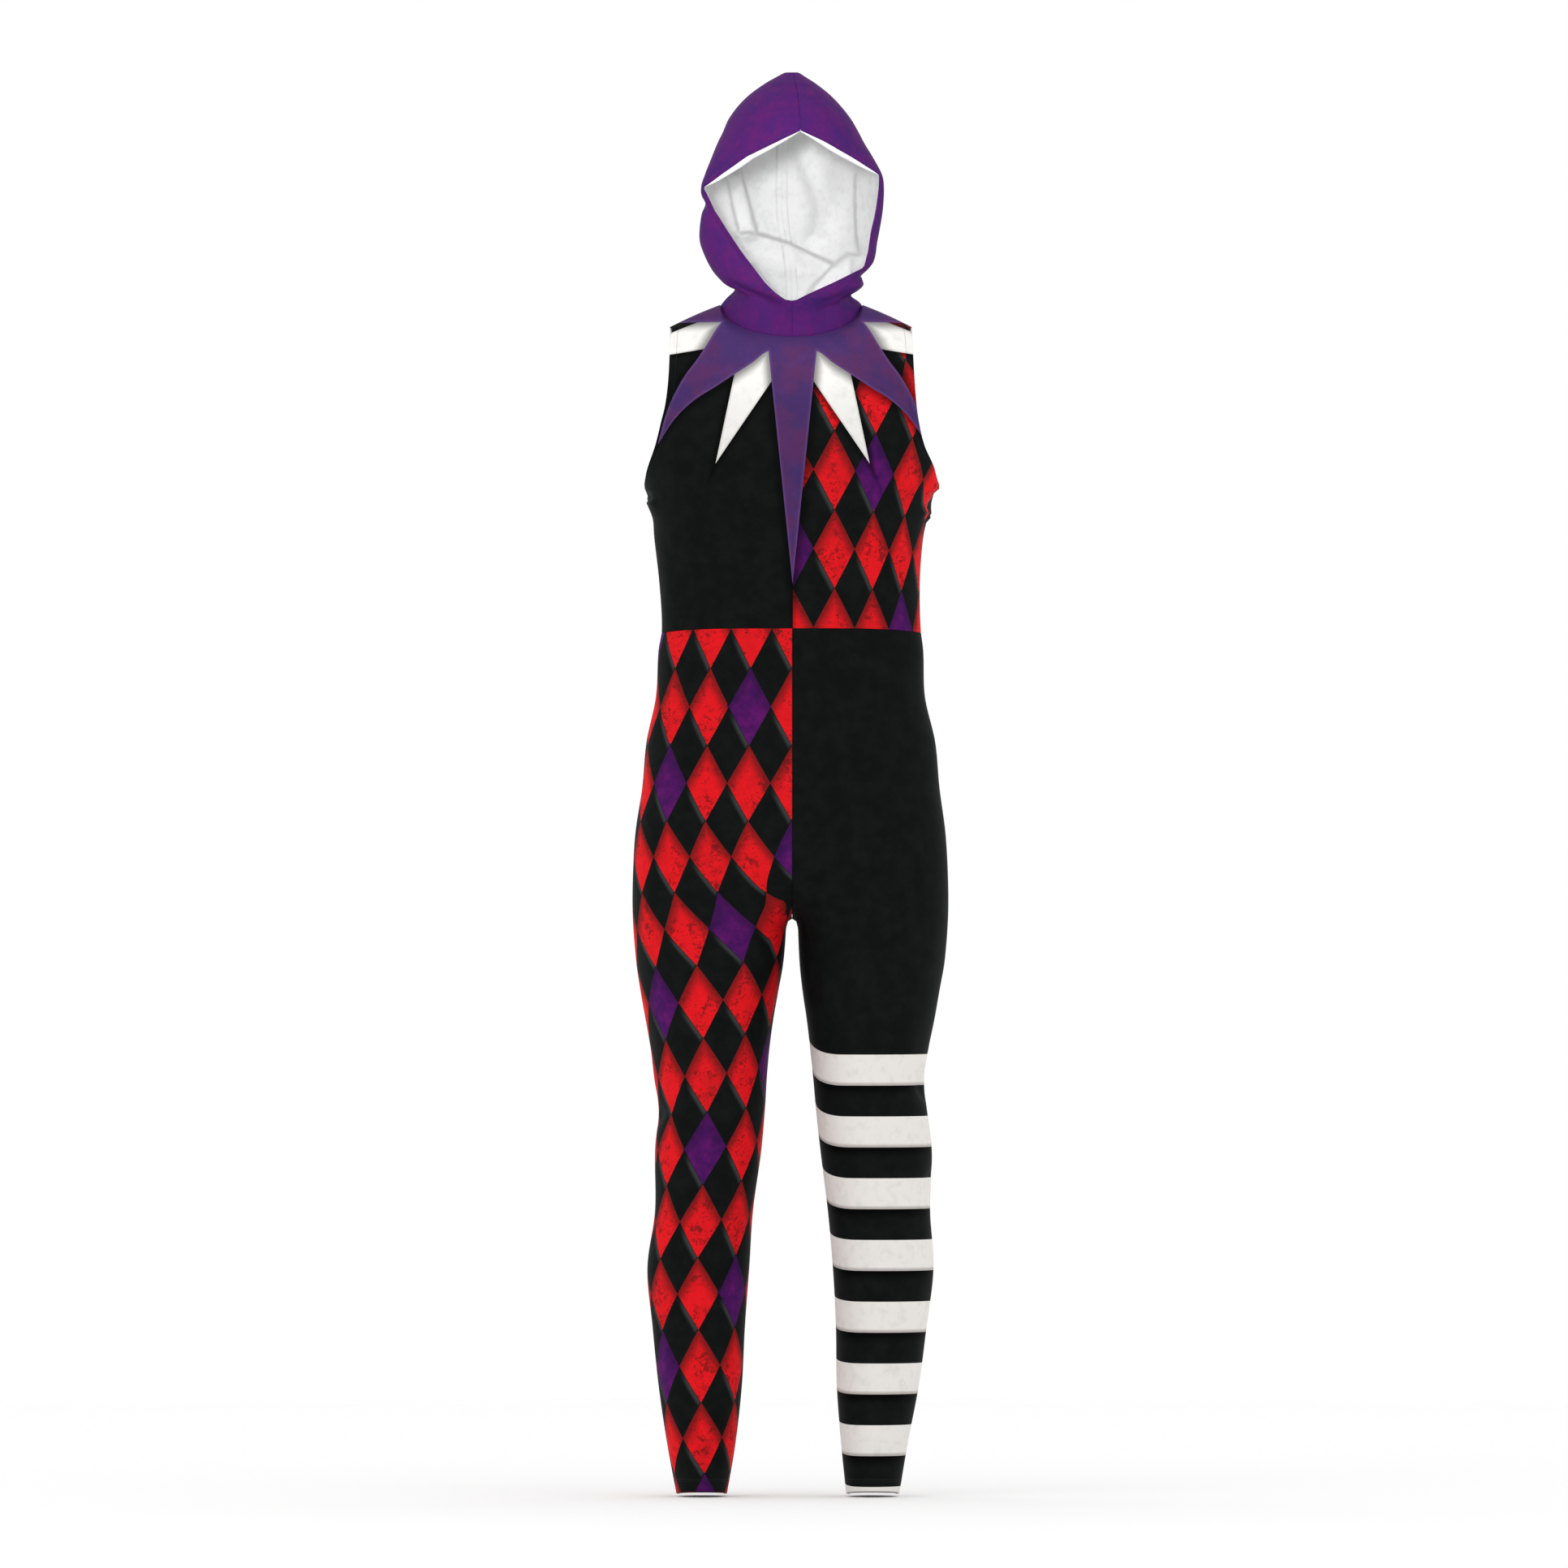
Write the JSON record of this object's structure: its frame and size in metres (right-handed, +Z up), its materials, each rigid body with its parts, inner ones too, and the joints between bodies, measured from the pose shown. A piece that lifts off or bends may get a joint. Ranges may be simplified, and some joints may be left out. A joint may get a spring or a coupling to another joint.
{
  "type": "unitard",
  "caption": "Hooded sleeveless harlequin unitard in stretch knit, worn shape, hollow, with a centre-back zip.",
  "frame": {"origin": "midway between the two shoulder seams, on the wearer's shoulders, where the wearer holds the garment up", "axes": "+Z up towards the hood's peak, +X to the wearer's left, and -Y out of the front"},
  "size_m": [0.3684, 0.2394, 1.66],
  "materials": {
    "purple_cloth": "matte",
    "printed_cloth": "matte",
    "zip_coil": "satin",
    "zip_metal": "satin"
  },
  "bodies": {
    "garment": {"hood_right": "purple_cloth", "hood_left": "purple_cloth", "bodice_front": "printed_cloth", "bodice_back_right": "printed_cloth", "bodice_back_left": "printed_cloth", "leg_front_right": "printed_cloth", "leg_back_right": "printed_cloth", "leg_front_left": "printed_cloth", "leg_back_left": "printed_cloth", "zip_chain": "zip_coil", "zip_slider": "zip_metal"},
    "pull": {"zip_pull": "zip_metal"}
  },
  "joints": [
    {"name": "pull_flip", "type": "hinge", "parent": "garment", "child": "pull", "pos_m": [0, 0.07115, -0.01284], "axis": [1, 0, 0], "range_deg": [0, 120]}
  ]
}
